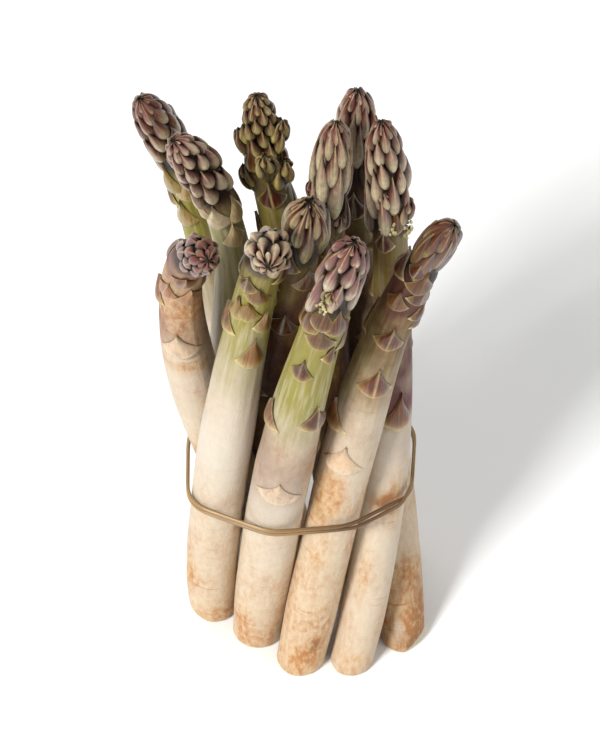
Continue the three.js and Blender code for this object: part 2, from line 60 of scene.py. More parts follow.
# Sizes are in millimetres and angles in degrees. foot, lower, upper and tip are the points of a spear's
# line of growth, girth is the stem's radius, and head is the scaly head's radius and length. facet is an
# oblique second cut at the foot. buds are small side heads and beads are clusters of flower buds, at a
# depth below the tip. turn is the azimuth of the first scale, hand the way the rows of scales wind, and
# scales their number. long says how far a scale reaches, leafy how much it is a flat leaf and not a bead,
# and plump how far it bulges.
#
# Colours are strengths of green, purple and rust, where 1 is the full tint. stain gives them up the stem,
# each row after its height, and scale gives them for the head. marks are scars and rubbed spots, and one on
# the right spear is also painted shadow of the band: height, azimuth, how tall, how wide, rust and shade.
# bracts are height, azimuth, length, half-width and how dark each is, where a value below 0 is bleached.
SPEARS = {
    "spear_front_left": {
        "foot": (-26.5, -7.5), "lower": (-29, -23.5, 74.5), "upper": (-4, 7, 187), "tip": (-7, -42.5, 202),
        "girth": 8.2, "head": (6.5, 34), "turn": -90, "hand": 1,
        "facet": {"azimuth": -160, "slope": 40, "inset": 3},
        "stain": [(0, 0, 0, 0.7), (20, 0, 0, 0.6), (60, 0, 0, 0.4), (95, 0, 0, 0.1), (112, 0.03, 0.05, 0.2),
                  (128, 0.4, 0.08, 0.2), (145, 0.75, 0.08, 0.15), (160, 0.95, 0.15, 0.15), (178, 1, 0.3, 0.2),
                  (190, 0.6, 0.9, 0.7)],
        "marks": [(92, -8, 14, 14, 1, 0.1), (56, -30, 2.5, 14, 0.8, 0.3), (30, -150, 8, 16, 0.6, 0),
                  (6, -90, 6, 60, 0.3, 0)],
        "scale": (0.25, 0, 0.15), "scales": 31, "long": 0.85, "leafy": 0.1, "plump": 1.0,
        "bracts": [(134, -74, 15, 44, 0.7), (150.4, -57, 12, 34, 0.6), (156.3, -108, 11, 44, 0.5),
                   (166, -93, 10, 46, 0.7), (154.5, -143, 12, 36, 0.4), (171, -130, 10, 40, 0.5)],
    },
    "spear_front_middle": {
        "foot": (-12, -17.5), "lower": (-8, -19, 68), "upper": (3.5, -21.5, 142.5), "tip": (16, -40.5, 209.5),
        "girth": 8.7, "head": (6.5, 38), "turn": -50, "hand": -1,
        "buds": [{"depth": 26, "azimuth": -112, "head": (3, 11), "scale": (0.9, 0.15, 0)}],
        "beads": [{"depth": 29, "azimuth": -122, "spread": 2.6, "count": 26}],
        "stain": [(0, 0, 0, 0.6), (30, 0, 0, 0.5), (64, 0, 0, 0.3), (76, 0, 0.16, 0.15),
                  (86, 0, 0.36, 0.3), (106, 0.08, 0.36, 0.45), (118, 0.45, 0.12, 0.2), (135, 0.9, 0.08, 0.1),
                  (160, 1, 0.12, 0.15), (176, 1, 0.4, 0.2), (190, 0.6, 1, 0.5)],
        "marks": [(98, -40, 10, 16, 0.4, 0), (60, -10, 16, 12, 0.7, 0), (12, -130, 12, 20, 0.3, 0),
                  (4, -90, 5, 60, 0.2, 0)],
        "scale": (0.12, 0.65, 0.08), "scales": 28, "long": 1.0, "leafy": 0.25, "plump": 1.0,
        "bracts": [(163, -98, 11, 54, 1), (155.4, -60, 9, 26, 0.9), (145, -121, 11, 36, 0.9),
                   (119.6, -52, 13, 46, 0.9), (82, -100, 11, 56, -0.36), (168, -150, 12, 48, 0.9),
                   (170.5, -64, 13, 52, 1), (172.5, -112, 12, 50, 1)],
    },
    "spear_front_right": {
        "foot": (1.5, -29), "lower": (14, -14.5, 75.5), "upper": (23.5, -6.5, 149), "tip": (43, -31.5, 206.5),
        "girth": 8.1, "head": (6.2, 32), "turn": -80, "hand": 1,
        "stain": [(0, 0, 0, 0.75), (20, 0, 0, 0.7), (60, 0, 0, 0.5), (90, 0, 0.05, 0.4),
                  (112, 0.08, 0.16, 0.3), (128, 0.45, 0.48, 0.45), (150, 0.75, 0.58, 0.4),
                  (170, 0.7, 1.2, 0.6), (190, 0.6, 1.3, 0.6)],
        "marks": [(78.7, -103, 8, 16, 0.6, 0), (78, -138, 12, 28, 1.1, 0.1), (13.7, -68, 2.6, 14, 0.9, 0.5),
                  (10, -95, 2.4, 18, 0.9, 0.1), (52, -112, 3, 20, 0.4, 0), (78, -25, 10, 14, 0.4, 0),
                  (45, -20, 14, 12, 0.5, 0), (4, -90, 4, 60, 0.3, 0)],
        "scale": (0.8, 2.0, 0.15), "scales": 28, "long": 1.2, "leafy": 0.9, "plump": 0.45,
        "bracts": [(185.7, -120, 10, 44, 1), (179, -88, 12, 52, 1), (172.8, -66, 11, 48, 1),
                   (162.3, -37, 10, 40, 0.9), (148.6, -97, 12, 50, 0.5), (126.1, -87, 14, 52, 0.4),
                   (90, -112, 13, 56, -0.28), (168, -125, 10, 44, 0.8)],
    },
    "spear_right": {
        "foot": (18, -29.5), "lower": (31.5, -6.5, 66), "upper": (30.5, 8, 139), "tip": (24, 4.5, 210),
        "girth": 7.3, "head": (6.1, 46), "turn": -60, "hand": 1,
        "buds": [
            {"depth": 31, "azimuth": -98, "head": (3, 12), "scale": (0.25, 0.3, 0.1)},
            {"depth": 37, "azimuth": -20, "head": (3, 13), "scale": (0.45, 0.4, 0.1)},
        ],
        "beads": [
            {"depth": 38, "azimuth": -95, "spread": 2.4, "count": 20},
            {"depth": 42, "azimuth": -25, "spread": 2.4, "count": 20},
        ],
        "stain": [(0, 0, 0, 0.45), (30, 0, 0, 0.35), (66, 0, 0.03, 0.3), (80, 0, 0.06, 0.2),
                  (94, 0.02, 0.14, 0.2), (104, 0.05, 0.9, 0.2), (130, 0.4, 1, 0.2), (165, 0.9, 0.7, 0.3),
                  (190, 0.6, 1, 0.5)],
        # The mark at 67.5 mm, where the band crosses, is partly a scar and partly painted shadow of the band.
        "marks": [(70, -55, 9, 20, 0.6, 0), (67.5, -84, 3.4, 32, 1.6, 0.6), (40, -110, 12, 16, 0.3, 0),
                  (20, -40, 10, 18, 0.3, 0), (4, -90, 4, 60, 0.4, 0)],
        "scale": (0.22, 0.3, 0.1), "scales": 42, "long": 1.0, "leafy": 0.2, "plump": 1.1,
        "bracts": [(96, -66, 16, 46, 0.7), (173, -65, 10, 44, 0.8), (166, -110, 11, 40, 0.8),
                   (152, -60, 11, 40, 0.8)],
    },
    "spear_far_right": {
        "foot": (34.5, -19.5), "lower": (29.5, 15, 66.5), "upper": (15.5, 23, 135.5),
        "tip": (17.5, 17.5, 209), "girth": 7.8, "head": (5.8, 38), "turn": -110, "hand": -1,
        "facet": {"azimuth": -25, "slope": 50, "inset": 3},
        "stain": [(0, 0.1, 0.2, 1.5), (20, 0.08, 0.18, 1.3), (33, 0, 0.05, 0.5), (80, 0.03, 0.1, 0.5),
                  (110, 0.1, 0.4, 0.3), (140, 0.6, 0.6, 0.3), (170, 0.9, 0.7, 0.3), (190, 0.6, 1, 0.5)],
        "marks": [(5, -100, 6, 22, -1.3, 0), (29, -60, 2.5, 50, 0.3, 0.05)],
        "scale": (0.28, 0.35, 0), "scales": 32, "long": 1.15, "leafy": 0.7, "plump": 1.15, "bracts": [],
    },
    "spear_left": {
        "foot": (8, -3), "lower": (-39.5, 4, 75), "upper": (-40, 22.5, 150), "tip": (-23.5, -32, 193),
        "girth": 8.1, "head": (5.9, 28), "turn": -100, "hand": 1,
        "stain": [(0, 0, 0, 0.4), (60, 0, 0, 0.3), (100, 0, 0.02, 0.3), (124, 0, 0.06, 0.3),
                  (132, 0, 0.45, 0.6), (142, 0, 0.5, 0.8), (152, 0, 0.28, 1.05), (168, 0.12, 0.38, 1),
                  (185, 0.3, 1, 0.8)],
        "marks": [(95, -60, 10, 18, 0.4, 0), (121, -90, 2.5, 60, 0.7, 0.1), (80, -120, 8, 20, 0.5, 0)],
        "scale": (0, 2.0, 0.3), "scales": 31, "long": 0.85, "leafy": 0.3, "plump": 0.9,
        "bracts": [(175, -97, 9, 46, 0.12), (157.6, -66, 12, 50, 0), (126, -96, 13, 60, -0.48),
                   (160, -140, 10, 40, 0)],
    },
    "spear_back_left": {
        "foot": (-16.5, 27), "lower": (-20.5, 39.5, 72), "upper": (-24, 38.5, 146), "tip": (-43, 14.5, 208.5),
        "girth": 7.3, "head": (6.5, 42), "turn": -60, "hand": 1,
        "stain": [(0, 0, 0, 0.45), (60, 0, 0, 0.25), (95, 0, 0.1, 0.2), (115, 0.4, 0.3, 0.2),
                  (140, 0.95, 0.1, 0.1), (165, 1, 0.1, 0.1), (185, 0.6, 0.9, 0.5)],
        "scale": (0.3, 0.5, 0.2), "scales": 38, "long": 1.05, "leafy": 0.9, "plump": 0.8,
        "bracts": [(146.9, -120, 14, 50, 0.05), (160, -75, 15, 56, 0.1), (164, -130, 15, 56, 0.1)],
    },
    "spear_middle_left": {
        "foot": (-28.5, 8), "lower": (-22.5, 30.5, 81), "upper": (-6, 19.5, 149), "tip": (-33.5, 0, 207),
        "girth": 7, "head": (6.6, 36), "turn": -120, "hand": -1,
        "stain": [(0, 0, 0, 0.4), (60, 0, 0, 0.2), (95, 0, 0.1, 0.2), (115, 0.4, 0.1, 0.1),
                  (135, 0.6, 0.08, 0.08), (168, 0.72, 0.08, 0), (185, 0.6, 0.9, 0.5)],
        "scale": (0.2, 0.3, 0), "scales": 44, "long": 1, "leafy": 0.0, "plump": 1.05,
        "bracts": [(167, -98, 14, 56, -0.35), (166, -20, 14, 54, 0.1), (156, -60, 14, 48, 0.1),
                   (170, -160, 12, 50, -0.2)],
    },
    "spear_back_middle": {
        "foot": (28.5, 21), "lower": (14, 23, 71), "upper": (-7, 22, 140.5), "tip": (-10.5, 16, 208.5),
        "girth": 7.6, "head": (5.2, 26), "turn": -70, "hand": 1,
        "buds": [
            {"depth": 18, "azimuth": -10, "head": (3.4, 14), "scale": (0.8, 0.15, 0.1)},
            {"depth": 23, "azimuth": 175, "head": (3.4, 14), "scale": (0.7, 0.3, 0.3)},
            {"depth": 27, "azimuth": -85, "head": (3.5, 14), "scale": (0.75, 0.05, 0)},
            {"depth": 33, "azimuth": -30, "head": (3.5, 14), "scale": (0.75, 0.1, 0.1)},
            {"depth": 36, "azimuth": 190, "head": (3.2, 13), "scale": (0.8, 0.3, 0.2)},
        ],
        "stain": [(0, 0, 0, 0.5), (60, 0, 0, 0.3), (95, 0.1, 0.3, 0.3), (120, 0.5, 0.4, 0.3),
                  (145, 1, 0.4, 0.1), (185, 1, 0.6, 0.2)],
        "scale": (0.75, 0.32, 0.05), "scales": 44, "long": 1, "leafy": 0.1, "plump": 1.1, "bracts": [],
    },
    "spear_back_right": {
        "foot": (18.5, 8.5), "lower": (9, 4.5, 71), "upper": (6.5, 6, 140), "tip": (11.5, 3.5, 210.5),
        "girth": 7.5, "head": (6.3, 40), "turn": -90, "hand": 1,
        "buds": [
            {"depth": 30, "azimuth": 185, "head": (2.6, 10), "scale": (0.35, 0.35, 0.1)},
            {"depth": 40, "azimuth": -50, "head": (2.6, 10), "scale": (0.4, 0.3, 0.1)},
        ],
        # From 60 mm up the stain is heavy green and purple: partly the stem's own colour, partly painted
        # shade where it stands hidden between the front spears.
        "stain": [(0, 0, 0, 0.5), (60, 0.1, 0.3, 0.4), (95, 0.7, 0.8, 0.6), (120, 1, 0.9, 0.7),
                  (145, 1, 0.7, 0.5), (185, 1, 0.8, 0.5)],
        "scale": (0.32, 0.22, 0.05), "scales": 32, "long": 1.15, "leafy": 0.6, "plump": 0.85, "bracts": [],
    },
    "spear_middle": {
        "foot": (-1.5, 23), "lower": (-16, 14, 70.5), "upper": (-0.5, -2.5, 135), "tip": (4, -18, 201),
        "girth": 7.6, "head": (6.3, 30), "turn": -80, "hand": -1,
        # From 60 mm up the stain is heavy green and purple: partly the stem's own colour, partly painted
        # shade where it stands hidden between the front spears.
        "stain": [(0, 0, 0, 0.5), (60, 0.2, 0.5, 0.4), (90, 0.9, 0.9, 0.6), (120, 1, 1, 0.8),
                  (145, 1, 1, 0.8), (165, 1, 0.8, 0.5), (185, 1, 0.9, 0.5)],
        "scale": (0.55, 0.3, 0.05), "scales": 24, "long": 1.3, "leafy": 0.5, "plump": 1.1, "bracts": [],
    },
}

# A stem's foot and neck are shares of its girth, and it tapers from a share of the way up to its head. It
# is built from spare below the floor, its rings of faces start at first_ring, and it stops bare_tip short
# of the spear's tip.
STEM = {
    "foot": 0.93, "foot_height": 25, "neck": 0.68, "taper_from": 0.5, "spare": 8, "first_ring": 5.5,
    "bare_tip": 0.6,
}
# Dents of three sizes in a stem: cells per radian round it, cells per metre up it, and each spear's shift.
DENTS = ((1.1, 28, 7), (3.2, 60, 11), (4.5, 12, 13))
# Scales stand in count rows. Each is jump rows and drift degrees further round the head than the last.
HEAD_ROWS = {"count": 8, "jump": 3, "drift": 2.5}
BUD_ROWS = {"count": 5, "jump": 2, "drift": -6.5}
# first_gap closes up the scales at the tip, and a higher blunt makes a squarer head. The neck joins the
# head over a share of its length. The lifts are how far scales bulge at its neck and end, in head radii.
HEAD = {"first_gap": 0.45, "blunt": 4, "joins": 0.25, "neck_lift": 0.34, "end_lift": 0.15, "cover": 0.98}
# A side bud's scales, its stalk and girth, how deep it is sunk into the head and how far it leans out.
BUD = {"scales": 11, "stalk": 3, "girth": 2.4, "sunk": 2.6, "lean": 13}
# Bracts that aren't in a spear's own list: how many, how their places draw apart down the stem, and how far
# they keep clear of the band's height and, in degrees, of the front of a spear that has its own.
BRACT = {
    "count": 9, "gap": 2.5, "growth": 0.85, "length": 12.5, "half_width": 58, "dark": 0.7, "band_clear": 9,
    "front": 80,
}
# Half a strand, half the way between the band's two turns, and their gap from the spears. The turns change
# places at cross_at, over cross_over degrees. The band's pattern has one unit of length to so many rings.
BAND = {
    "height": 67.5, "strand": 0.75, "apart": 0.8, "gap": 0.4, "cross_at": -55, "cross_over": 30, "sides": 12,
    "pattern": 50,
}
# Each lamp's place and size in metres and its power in watts.
LAMPS = {
    "key": ((-1.7, -1.9, 2.3), 0.8, 122),
    "fill": ((2.0, -1.2, 1.6), 1.8, 17),
    "top": ((-0.5, 1.2, 2.8), 1.6, 26),
}
LAMPS_AIM = (0, 0, 0.1)
CAMERA = {"target": (1.5, 8.5, 95), "lens": 148.5}
# The world's strength, and in metres the floor's half-width and how near the camera sees.
STAGE = {"world": 0.3, "floor": 3, "clip": 0.05}
# Numbers that start the random draws of each spear's head and bracts, with the spear's own number added.
DRAWS = {"head": 100, "bracts": 200}
# How far apart the spears' own patterns lie, in metres.
SEED_STEP = 0.5
# The inputs of a node that turns one range of values into another.
RANGE = ("From Min", "From Max", "To Min", "To Max")


# --- Sizes and colours ---


def linear(code):
    """An sRGB hex colour as linear RGBA."""
    parts = [int(code[i : i + 2], 16) / 255 for i in (1, 3, 5)]
    return (*Color(parts).from_srgb_to_scene_linear(), 1)


def size_setting(name, description, size):
    """A setting that is a length, given in millimetres."""
    return bpy.props.FloatProperty(
        name=name, description=description, default=size * MM, unit="LENGTH", precision=5
    )


def angle_setting(name, description, angle):
    """A setting that is an angle, given in degrees."""
    return bpy.props.FloatProperty(
        name=name, description=description, default=math.radians(angle), unit="ROTATION", subtype="ANGLE"
    )


def colour_setting(name, description, code):
    """A setting that is a colour, given as an sRGB hex value."""
    return bpy.props.FloatVectorProperty(
        name=name, description=description, default=linear(code)[:3], subtype="COLOR", size=3
    )


class AsparagusStemSettings(bpy.types.PropertyGroup):
    segments: bpy.props.IntProperty(name="Segments", description="Faces round each stem", default=64, min=16)
    ring_step: size_setting("Ring Step", "Height of one ring of faces", 2.2)
    rim: size_setting("Cut Rim", "Rounding of the rim of the cut end", 1.6)
    uneven: size_setting("Unevenness", "How far a stem is out of round", 0.28)


class AsparagusScaleSettings(bpy.types.PropertyGroup):
    half_angle: angle_setting("Half Width", "Half of the angle that one scale covers on the head", 20.5)
    overlap: bpy.props.FloatProperty(
        name="Overlap", description="A scale's length, as a share of the way to the one above", default=1.45
    )
    tip_lift: bpy.props.FloatProperty(
        name="Tip Lift", description="Height of a scale's tip, as a share of its crest", default=0.72,
        subtype="FACTOR",
    )
    jitter: bpy.props.FloatProperty(
        name="Irregularity", description="How much the scales differ from each other", default=0.2,
        subtype="FACTOR",
    )


class AsparagusBractSettings(bpy.types.PropertyGroup):
    lift: size_setting("Bulge", "How far a bract stands off the stem", 1.35)
    thickness: size_setting("Thickness", "Thickness of a bract", 0.35)


class AsparagusBandSettings(bpy.types.PropertyGroup):
    steps: bpy.props.IntProperty(name="Steps", description="Rings along the whole band", default=420, min=100)
    strand_height: size_setting("Strand Height", "Height of one strand of rubber", 1.1)
    strand_depth: size_setting("Strand Depth", "Depth of one strand of rubber", 1.1)
    colour: colour_setting("Rubber", "Colour of the band where it is clean", "#a08054")
    # The darker rubber colour is painted shade on the band's right front side.
    painted_band_shade: colour_setting("Rubber In Painted Shade", "Colour painted on the band where it lies in shade", "#65482f")


class AsparagusSkinSettings(bpy.types.PropertyGroup):
    flesh: colour_setting("White Skin", "Skin that grew under the soil", "#cdc5b7")
    leaf: colour_setting("Scale Flesh", "Scales before they green or blush", "#f0e8da")
    green: colour_setting("Green", "Tint that full greening gives the white skin", "#b5b559")
    purple: colour_setting("Purple", "Tint that a full blush gives the white skin", "#84525d")
    rust: colour_setting("Rust", "Tint of rubbed and aged skin", "#d9ac86")
    straw: colour_setting("Straw", "Skin that has yellowed as it aged", "#d4bc95")
    # shade is the tint of the painted shade in crevices and hollows, and also of the darker scars and tips.
    shade: colour_setting("Crevice", "Tint of the painted shade in crevices, and of dark scars and tips", "#52423f")
    # margin colours the scales' papery edges and pale bases, and also the painted highlights on their bases
    # and keels.
    margin: colour_setting("Margin", "Papery edges and pale bases of the scales, and their painted highlights", "#c0b07a")


class AsparagusStageSettings(bpy.types.PropertyGroup):
    elevation: angle_setting("Camera Elevation", "How far the camera looks down", 50)
    distance: size_setting("Camera Distance", "From the camera to its target", 950)
    floor: colour_setting("Floor", "Colour of the floor", "#f9f9f8")


# --- Growth ---


def clamp(value, low=0.0, high=1.0):
    return min(max(value, low), high)


def lerp(a, b, t):
    return a + (b - a) * t


def smoothstep(value, low, high):
    t = clamp((value - low) / (high - low))
    return t * t * (3 - 2 * t)


class Growth:
    """A spear's line of growth: where a point of the straight spear comes to lie. Lengths are in metres."""

    SAMPLES = 400

    def __init__(self, spear):
        points = ((*spear["foot"], 0), spear["lower"], spear["upper"], spear["tip"])
        self.points = [Vector(point) * MM for point in points]
        places = [self.curve(i / self.SAMPLES) for i in range(self.SAMPLES + 1)]
        self.reached = [0.0]
        for a, b in zip(places, places[1:]):
            self.reached.append(self.reached[-1] + (b - a).length)
        self.length = self.reached[-1]

    def curve(self, t):
        a, b, c, d = self.points
        u = 1 - t
        return a * u**3 + b * (3 * u * u * t) + c * (3 * u * t * t) + d * t**3

    def frame(self, height):
        """The line's place at a height, with its two directions across and the one along."""
        a, b, c, d = self.points
        share = clamp(height, 0, self.length)
        i = min(bisect_right(self.reached, share) - 1, self.SAMPLES - 1)
        step = self.reached[i + 1] - self.reached[i]
        t = (i + (share - self.reached[i]) / step) / self.SAMPLES
        u = 1 - t
        along = ((b - a) * (u * u) + (c - b) * (2 * u * t) + (d - c) * (t * t)).normalized()
        across = (Vector((1, 0, 0)) - along * along.x).normalized()
        return self.curve(t) + along * (height - share), across, along.cross(across), along

    def place(self, point):
        at, across, over, _ = self.frame(point.z)
        return at + across * point.x + over * point.y


def stalk_of(spear, line):
    """A spear as a straight stalk in metres."""
    return {
        "length": line.length, "girth": spear["girth"] * MM, "head_radius": spear["head"][0] * MM,
        "head_length": spear["head"][1] * MM, "turn": spear["turn"], "hand": spear["hand"],
        "rows": HEAD_ROWS, "scales": spear["scales"],
    }


def bud_stalk(bud):
    """A side bud as a straight stalk in metres."""
    return {
        "length": (BUD["stalk"] + bud["head"][1]) * MM, "girth": BUD["girth"] * MM,
        "head_radius": bud["head"][0] * MM, "head_length": bud["head"][1] * MM, "turn": bud["azimuth"],
        "hand": 1, "rows": BUD_ROWS, "scales": BUD["scales"],
    }


def core_radius(stalk, height):
    """Radius of a stalk without its scales."""
    neck_at = stalk["length"] - stalk["head_length"]
    neck = stalk["girth"] * STEM["neck"]
    if height <= neck_at:
        swell = lerp(STEM["foot"], 1, smoothstep(height, 0, STEM["foot_height"] * MM))
        return swell * lerp(stalk["girth"], neck, smoothstep(height / neck_at, STEM["taper_from"], 1))
    share = min((height - neck_at) / stalk["head_length"], 1)
    outline = math.sqrt(1 - share ** HEAD["blunt"]) - lerp(HEAD["neck_lift"], HEAD["end_lift"], share)
    return max(lerp(neck, stalk["head_radius"] * outline, smoothstep(share, 0, HEAD["joins"])), 0)


def scale_depth(stalk, n):
    """How far below the tip a head's scale begins."""
    t = clamp((n + 1) / stalk["scales"])
    return stalk["head_length"] * t * lerp(HEAD["first_gap"], 1, t)


def marked(spear, height, azimuth):
    """Rust and shade that scars and rubbed spots add, at a height in metres and an azimuth in radians."""
    rust = shade = 0.0
    for at, turn, tall, wide, rubbed, sunk in spear.get("marks", []):
        aside = (math.degrees(azimuth) - turn + 180) % 360 - 180
        share = math.exp(-(((height / MM - at) / tall) ** 2) - (aside / wide) ** 2)
        rust += rubbed * share
        shade += sunk * share
    return rust, shade


def stain(spear, height):
    """Green, purple and rust in the skin at a height of the stem, in metres."""
    rows = spear["stain"]
    height /= MM
    for low, high in zip(rows, rows[1:]):
        if height <= high[0]:
            t = smoothstep(height, low[0], high[0])
            return [lerp(a, b, t) for a, b in zip(low[1:], high[1:])]
    return list(rows[-1][1:])


# --- Meshes ---


class Skin:
    """A mesh whose points know where they grew, how they are stained and where they are on their leaf."""

    def __init__(self):
        self.bm = bmesh.new()
        self.grown = self.bm.verts.layers.float_vector.new("grown")
        self.stain = self.bm.verts.layers.float_color.new("stain")
        self.leaf = self.bm.verts.layers.float_vector.new("leaf")
        # shade darkens a point: mostly painted shade, also the dark of scars and tips, and on the band its
        # painted shade.
        self.shade = self.bm.verts.layers.float.new("shade")

    def set(self, vert, grown, stains, leaf=(0, 0, 0), shade=0.0):
        vert[self.grown] = grown
        vert[self.stain] = (*stains, 0) if len(stains) == 3 else stains
        vert[self.leaf] = leaf
        vert[self.shade] = shade


def prepare(number, spear):
    """What each piece of a spear starts from. The seed is a shift that gives every spear its own patterns."""
    line = Growth(spear)
    return line, stalk_of(spear, line), Skin(), Vector((0, 0, number * SEED_STEP))


def finish_piece(name, bm, materials, node, levels=0):
    """Makes the mesh an object in the frame that stands for a CAD node."""
    bmesh.ops.recalc_face_normals(bm, faces=bm.faces)
    mesh = bpy.data.meshes.new(name)
    bm.to_mesh(mesh)
    bm.free()
    mesh.shade_smooth()
    for material in materials:
        mesh.materials.append(material)
    piece = bpy.data.objects.new(name, mesh)
    bpy.context.scene.collection.objects.link(piece)
    if levels:
        rounding = piece.modifiers.new("Rounding", "SUBSURF")
        rounding.levels = rounding.render_levels = levels
    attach(piece, BODY)
    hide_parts(node)
    return piece


def cut_away(bm, at, outward, material):
    """Cuts off what lies beyond a plane and closes the cut with one face."""
    cut = bmesh.ops.bisect_plane(
        bm, geom=bm.verts[:] + bm.edges[:] + bm.faces[:], dist=1e-7, plane_co=at, plane_no=outward,
        clear_outer=True,
    )
    rim = [item for item in cut["geom_cut"] if isinstance(item, bmesh.types.BMEdge)]
    return bmesh.ops.edgeloop_fill(bm, edges=rim, mat_nr=material)["faces"]


def stem(number, name, spear, settings):
    """A stem with its cut foot, dented and bent as it lies in the bundle."""
    line, stalk, skin, seed = prepare(number, spear)
    bm = skin.bm
    top = line.length - STEM["bare_tip"] * MM
    first = STEM["first_ring"] * MM  # no ring lies where the foot is cut and its rim rounded
    rings = round((top - first) / settings.ring_step)
    bmesh.ops.create_cone(bm, cap_ends=True, segments=settings.segments, radius1=1, radius2=1, depth=2)
    upright = [edge for edge in bm.edges if abs(edge.verts[0].co.z - edge.verts[1].co.z) > 1]
    bmesh.ops.subdivide_edges(bm, edges=upright, cuts=rings, use_grid_fill=True)
    for vert in bm.verts:
        ring = round((vert.co.z + 1) / 2 * (rings + 1))
        height = -STEM["spare"] * MM if ring == 0 else lerp(first, top, (ring - 1) / rings)
        angle = math.atan2(vert.co.y, vert.co.x)
        way = Vector((math.cos(angle), math.sin(angle), 0))
        radius = core_radius(stalk, height)
        broad, fine, ribs = (
            noise.noise(way * cells + Vector((0, 0, height * along)) + seed * shift)
            for cells, along, shift in DENTS
        )
        ribs *= smoothstep(height, 0.07, 0.13)
        radius += settings.uneven * (broad + 0.45 * fine + 1.1 * ribs) * clamp(radius / (4 * MM))
        grown = way * radius + Vector((0, 0, height))
        vert.co = line.place(grown)
        neck = line.length - stalk["head_length"]
        # Painted shade: the core under the head is darkened so that the gaps between its scales look dark.
        inside = smoothstep(height, neck, line.length - 0.85 * stalk["head_length"])
        green, purple, rust = stain(spear, height)
        rubbed, sunk = marked(spear, height, angle)
        skin.set(vert, grown + seed, (green, purple, clamp(rust + rubbed, 0, 2)), shade=clamp(inside + sunk))
    foot = cut_away(bm, (0, 0, 0), (0, 0, -1), 1)
    rim = list({edge for face in foot for edge in face.edges})
    rounded = bmesh.ops.bevel(
        bm, geom=rim, offset=settings.rim, offset_type="OFFSET", segments=4, profile=0.5, affect="EDGES",
        clamp_overlap=False, material=-1,
    )
    for face in rounded["faces"]:
        face.material_index = 0
    if "facet" in spear:
        facet = spear["facet"]
        azimuth, slope = math.radians(facet["azimuth"]), math.radians(facet["slope"])
        out = Vector((math.cos(azimuth), math.sin(azimuth), 0))
        at = Vector((*spear["foot"], 0)) * MM + out * (facet["inset"] * MM)
        cut_away(bm, at, out * math.sin(slope) - Vector((0, 0, math.cos(slope))), 1)
    return finish_piece(f"{name}_stem", bm, [skin_material(), cut_material()], name)


def add_scale(skin, place, stalk, scale):
    """One plump scale: a ball drawn out to a point, wrapped on its stalk and tucked into it underneath."""
    faces, widest, tip = scale["faces"], scale["widest"], scale["tip"]
    made = bmesh.ops.create_uvsphere(skin.bm, u_segments=faces, v_segments=faces - 2, radius=1)
    for vert in made["verts"]:
        x, y, z = vert.co
        v = math.acos(clamp(-z, -1, 1)) / math.pi
        ring = math.hypot(x, y)
        across, outward = (x / ring, y / ring) if ring > 1e-6 else (0.0, 0.0)
        if v < widest:
            width = math.sin(math.pi / 2 * v / widest) ** scale["full"]
        else:
            past = clamp((v - widest) / (1 - widest), 0, 0.999)
            width = math.cos(math.pi / 2 * past) ** scale["taper"]
        height = scale["height"] + scale["length"] * v
        crest = math.sin(math.pi / 2 * clamp(v / 0.28)) * lerp(1, tip, smoothstep(v, 0.3, 1))
        edge = lerp(-0.35, 0.1, smoothstep(v, 0, 0.35))
        edge = lerp(edge, tip * 0.85, smoothstep(v, 0.5, 1))
        if outward >= 0:
            arch = math.sin(math.pi * v)
            keel = scale["keel"] * (1 - abs(across)) ** 1.3 * arch
            dent = 0.5 * noise.noise(Vector((across * 1.7, v * 3.5, scale["tone"] * 60))) * outward * arch
            rise = edge + (crest - edge) * outward ** 0.9 + keel + dent
        else:
            rise = edge + outward * lerp(0.5, 0.12, smoothstep(v, 0.5, 1))
        radius = core_radius(stalk, height) + rise * scale["lift"] + scale["out"] * v
        side = (across * width + scale["lean"] * v) * scale["half_width"]
        angle = scale["azimuth"] + side / max(radius, 2.2 * MM)
        grown = Vector((radius * math.cos(angle), radius * math.sin(angle), height))
        vert.co = place(grown)
        stains = [lerp(a, b, smoothstep(v, 0.12, 0.75)) for a, b in zip(scale["low"], scale["high"])]
        stains[1] = clamp(stains[1] + 0.65 * smoothstep(abs(across), 0.3, 0.95), 0, 1.6)
        stains[3] *= 1 - 0.7 * smoothstep(abs(across), 0.3, 0.9)
        # Painted shade on the scale's sides where they curl under and on its tucked base, with a darker tip
        # that is partly the scale's own colour and partly painted shade.
        under = 1 - smoothstep(outward, 0.08, 0.85)
        painted_shade_and_dark_tip = max(under, 1 - smoothstep(v, 0.02, 0.16), 0.75 * smoothstep(v, 0.7, 1))
        skin.set(vert, grown + scale["seed"], stains, (across * width, v, scale["tone"]), painted_shade_and_dark_tip)


